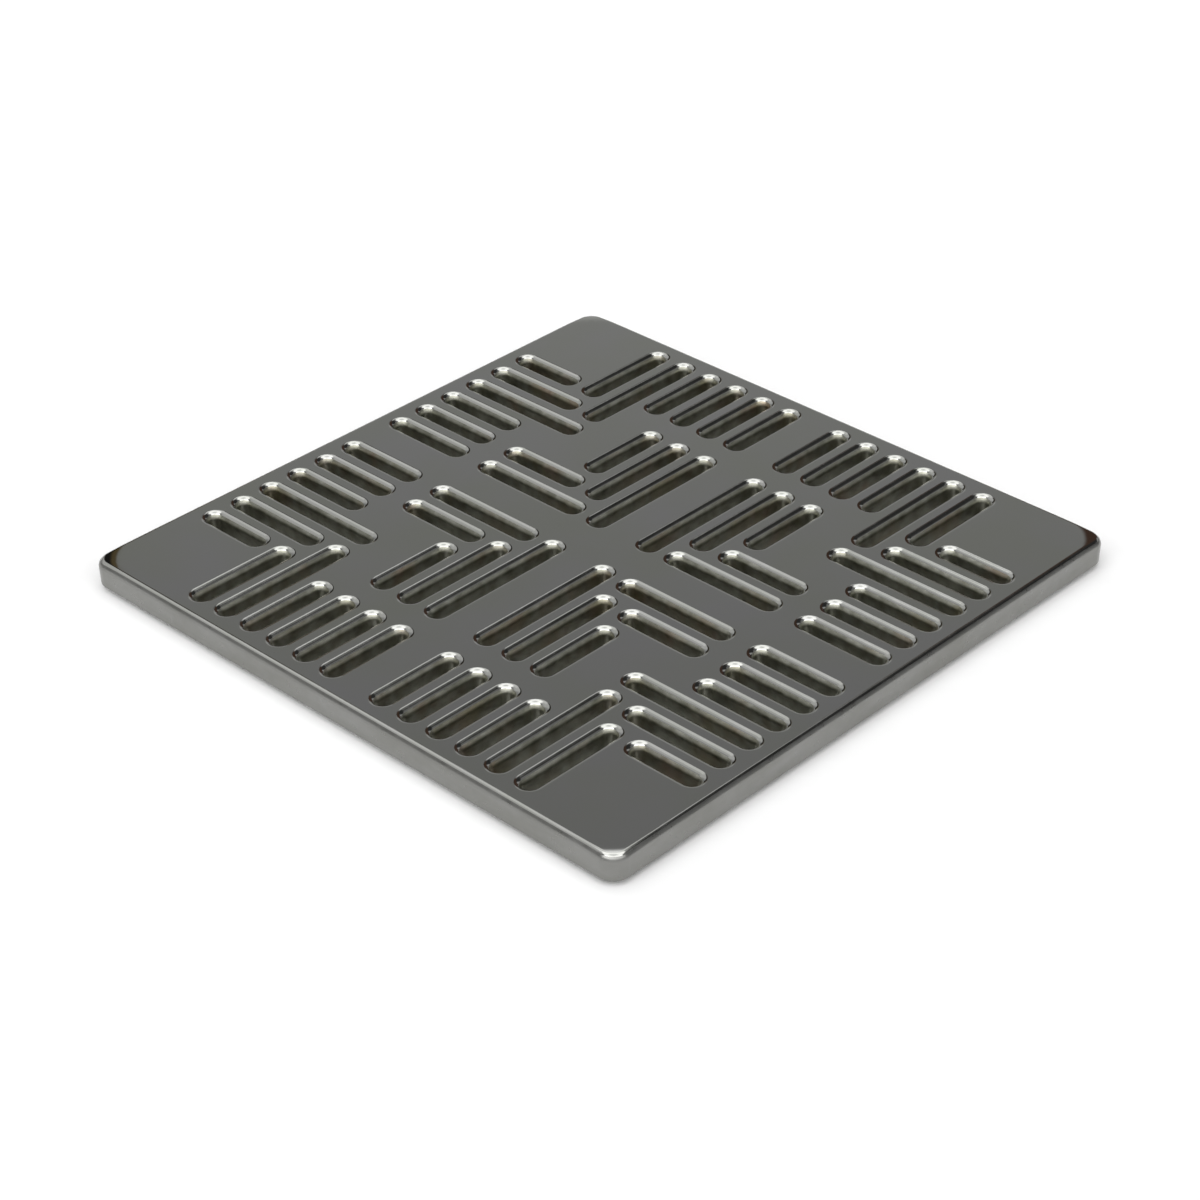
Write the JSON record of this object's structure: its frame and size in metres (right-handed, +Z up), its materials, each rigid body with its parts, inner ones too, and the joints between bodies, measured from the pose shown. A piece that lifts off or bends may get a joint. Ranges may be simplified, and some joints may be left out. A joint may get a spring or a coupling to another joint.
{
  "type": "floor drain grate",
  "caption": "Square drop-in shower or floor drain grate: a polished metal plate cut through with slots in a woven pattern, standing on soft corner pads.",
  "frame": {"origin": "on the ground under the middle of the plate, where the pads stand", "axes": "+Z up out of the polished face; X and Y run along the plate's two pairs of sides, and the long slots beside the middle run along Y"},
  "size_m": [0.0952, 0.0952, 0.0046],
  "materials": {
    "plate_metal": "mirror-polished faces and rims, rough-cast slot walls, satin sides",
    "pad_rubber": "matte moulded"
  },
  "bodies": {
    "root": {"grate_plate": "plate_metal", "corner_pad_right": "pad_rubber", "corner_pad_back": "pad_rubber", "corner_pad_left": "pad_rubber", "corner_pad_front": "pad_rubber"}
  },
  "joints": []
}
